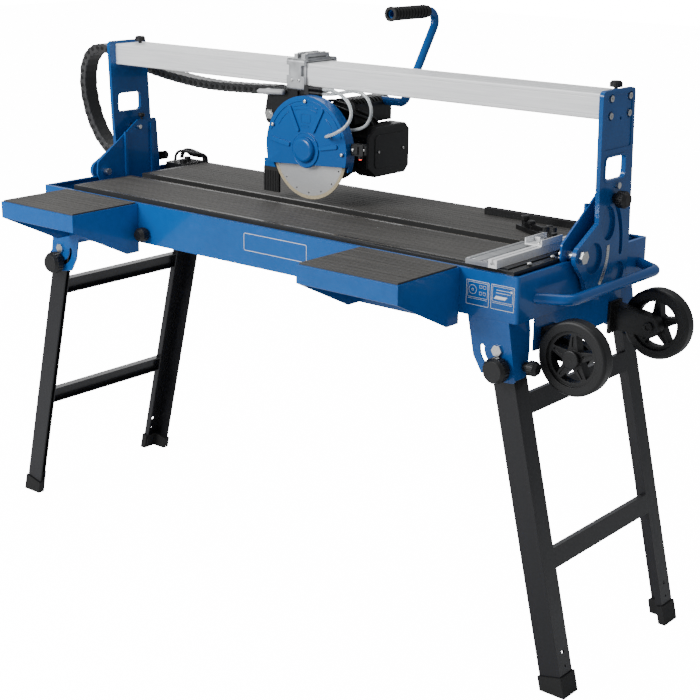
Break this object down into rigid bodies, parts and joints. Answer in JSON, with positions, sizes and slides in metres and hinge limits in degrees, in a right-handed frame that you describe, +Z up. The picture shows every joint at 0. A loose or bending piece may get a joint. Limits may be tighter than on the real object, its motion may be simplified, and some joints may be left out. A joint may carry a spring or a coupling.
{
  "type": "wet tile saw",
  "caption": "Bridge wet tile saw: cutting head sliding on a tilting rail above a water tub, with front trays, transport wheels and folding splayed legs.",
  "frame": {"origin": "middle of the footprint on the floor", "axes": "+X along the rail towards the wheels, +Y from the operator's side to the back, +Z up"},
  "size_m": [1.6913, 0.6546, 1.182],
  "materials": {
    "blue": "gloss",
    "blue_cast": "gloss",
    "dark_steel": "satin",
    "black_metal": "satin",
    "anthracite": "satin",
    "zinc": "satin",
    "blade_steel": "satin",
    "aluminium": "satin",
    "cast_aluminium": "satin",
    "rubber": "matte",
    "grip_rubber": "matte",
    "black_plastic": "matte",
    "clear_hose": "gloss"
  },
  "bodies": {
    "base": {"base_tub": "blue", "water_pan": "black_plastic", "table_front": "dark_steel", "table_rear": "dark_steel", "mats": "rubber", "gussets": "blue", "shoulder_bolts": "zinc", "carry_handle": "blue", "leg_brackets": "blue", "trays": "blue", "wheel_arms": "black_plastic", "table_end_strip": "dark_steel", "fence_bar": "aluminium", "fence_rail": "aluminium", "stop_carrier": "black_metal", "water_pump": "black_plastic", "chain_loop": "black_plastic"},
    "bridge": {"posts": "blue_cast", "rail_screws": "zinc", "rail": "aluminium", "chain_run": "black_plastic"},
    "carriage": {"carriage_clamp": "cast_aluminium", "pivot_bracket": "black_metal", "head_pivot_pin": "zinc", "hose_fittings": "black_plastic"},
    "cutting_head": {"swing_arm": "black_metal", "motor_housing": "black_metal", "guard_front": "blue", "guard_rear": "blue", "switch_box": "black_plastic", "handle_mount": "black_plastic", "handle_tube": "blue", "handle_grip": "grip_rubber", "laser": "black_plastic", "splash_flap": "rubber", "hose_left": "clear_hose", "hose_right": "clear_hose"},
    "blade": {"blade": "blade_steel"},
    "right_leg_frame": {"right_legs": "anthracite", "right_crossbars": "anthracite", "right_feet": "rubber"},
    "left_leg_frame": {"left_legs": "anthracite", "left_crossbars": "anthracite", "left_feet": "rubber"},
    "wheel_front": {"wheel_front": "black_plastic"},
    "wheel_rear": {"wheel_rear": "black_plastic"},
    "tilt_knob_left": {"tilt_knob_left": "black_plastic"},
    "tilt_knob_right": {"tilt_knob_right": "black_plastic"},
    "thumb_screw_left": {"thumb_screw_left": "black_plastic"},
    "thumb_screw_right": {"thumb_screw_right": "black_plastic"},
    "leg_knob_front_left": {"leg_knob_front_left": "black_plastic"},
    "leg_knob_front_right": {"leg_knob_front_right": "black_plastic"},
    "leg_knob_rear_left": {"leg_knob_rear_left": "black_plastic"},
    "leg_knob_rear_right": {"leg_knob_rear_right": "black_plastic"},
    "latch_knob_left": {"latch_knob_left": "black_plastic"},
    "latch_knob_right": {"latch_knob_right": "black_plastic"},
    "tray_knob_left": {"tray_knob_left": "black_plastic"},
    "tray_knob_right": {"tray_knob_right": "black_plastic"},
    "angle_stop": {"angle_stop": "black_metal"},
    "stop_bar": {"stop_bar": "black_metal"}
  },
  "joints": [
    {"name": "bridge_tilt", "type": "hinge", "parent": "base", "child": "bridge", "pos_m": [0.0656, 0.0257, 0.777], "axis": [1, 0, 0], "range_deg": [0, 45], "deforming": ["chain_loop"]},
    {"name": "carriage_slide", "type": "slide", "parent": "bridge", "child": "carriage", "axis": [1, 0, 0], "range_m": [-0.43, 0.49], "deforming": ["chain_run"]},
    {"name": "head_plunge", "type": "hinge", "parent": "carriage", "child": "cutting_head", "pos_m": [-0.0844, 0.1167, 0.951], "axis": [0, 1, 0], "range_deg": [0, 9], "deforming": ["hose_left", "hose_right"]},
    {"name": "blade_spin", "type": "hinge", "parent": "cutting_head", "child": "blade", "pos_m": [0.0436, 0.0547, 0.889], "axis": [0, 1, 0], "continuous": true},
    {"name": "right_leg_fold", "type": "hinge", "parent": "base", "child": "right_leg_frame", "pos_m": [0.6626, 0.0787, 0.629], "axis": [0, 1, 0], "range_deg": [0, 103.5]},
    {"name": "left_leg_fold", "type": "hinge", "parent": "base", "child": "left_leg_frame", "pos_m": [-0.5214, 0.0787, 0.629], "axis": [0, 1, 0], "range_deg": [-97.5, 0]},
    {"name": "wheel_front_spin", "type": "hinge", "parent": "base", "child": "wheel_front", "pos_m": [0.7766, -0.0723, 0.622], "axis": [0, 1, 0], "continuous": true},
    {"name": "wheel_rear_spin", "type": "hinge", "parent": "base", "child": "wheel_rear", "pos_m": [0.7766, 0.2297, 0.622], "axis": [0, 1, 0], "continuous": true},
    {"name": "tilt_lock_left", "type": "hinge", "parent": "base", "child": "tilt_knob_left", "pos_m": [-0.6014, 0.13039, 0.86995], "axis": [1, 0, 0], "continuous": true},
    {"name": "tilt_lock_right", "type": "hinge", "parent": "base", "child": "tilt_knob_right", "pos_m": [0.7326, 0.13039, 0.86995], "axis": [1, 0, 0], "continuous": true},
    {"name": "rail_lock_left", "type": "hinge", "parent": "bridge", "child": "thumb_screw_left", "pos_m": [-0.5514, 0.1387, 1.075], "axis": [0, 0, 1], "continuous": true},
    {"name": "rail_lock_right", "type": "hinge", "parent": "bridge", "child": "thumb_screw_right", "pos_m": [0.6926, 0.1577, 1.075], "axis": [0, 0, 1], "continuous": true},
    {"name": "leg_lock_front_left", "type": "hinge", "parent": "left_leg_frame", "child": "leg_knob_front_left", "pos_m": [-0.5291, 0.0787, 0.59691], "axis": [0, 1, 0], "continuous": true},
    {"name": "leg_lock_front_right", "type": "hinge", "parent": "right_leg_frame", "child": "leg_knob_front_right", "pos_m": [0.6703, 0.0787, 0.59691], "axis": [0, 1, 0], "continuous": true},
    {"name": "leg_lock_rear_left", "type": "hinge", "parent": "left_leg_frame", "child": "leg_knob_rear_left", "pos_m": [-0.5291, 0.0787, 0.59691], "axis": [0, 1, 0], "continuous": true},
    {"name": "leg_lock_rear_right", "type": "hinge", "parent": "right_leg_frame", "child": "leg_knob_rear_right", "pos_m": [0.6703, 0.0787, 0.59691], "axis": [0, 1, 0], "continuous": true},
    {"name": "latch_left", "type": "hinge", "parent": "base", "child": "latch_knob_left", "pos_m": [-0.5744, -0.1163, 0.6], "axis": [1, 0, 0], "continuous": true},
    {"name": "latch_right", "type": "hinge", "parent": "base", "child": "latch_knob_right", "pos_m": [0.7156, -0.1163, 0.6], "axis": [1, 0, 0], "continuous": true},
    {"name": "tray_lock_left", "type": "hinge", "parent": "base", "child": "tray_knob_left", "pos_m": [-0.2394, -0.1573, 0.704], "axis": [0, 1, 0], "continuous": true},
    {"name": "tray_lock_right", "type": "hinge", "parent": "base", "child": "tray_knob_right", "pos_m": [0.3236, -0.1573, 0.704], "axis": [0, 1, 0], "continuous": true},
    {"name": "angle_stop_swivel", "type": "hinge", "parent": "base", "child": "angle_stop", "pos_m": [0.5806, 0.1217, 0.779], "axis": [0, 0, 1], "range_deg": [-18, 27]},
    {"name": "stop_bar_slide", "type": "slide", "parent": "base", "child": "stop_bar", "axis": [0, 1, 0], "range_m": [-0.03, 0.03]}
  ]
}
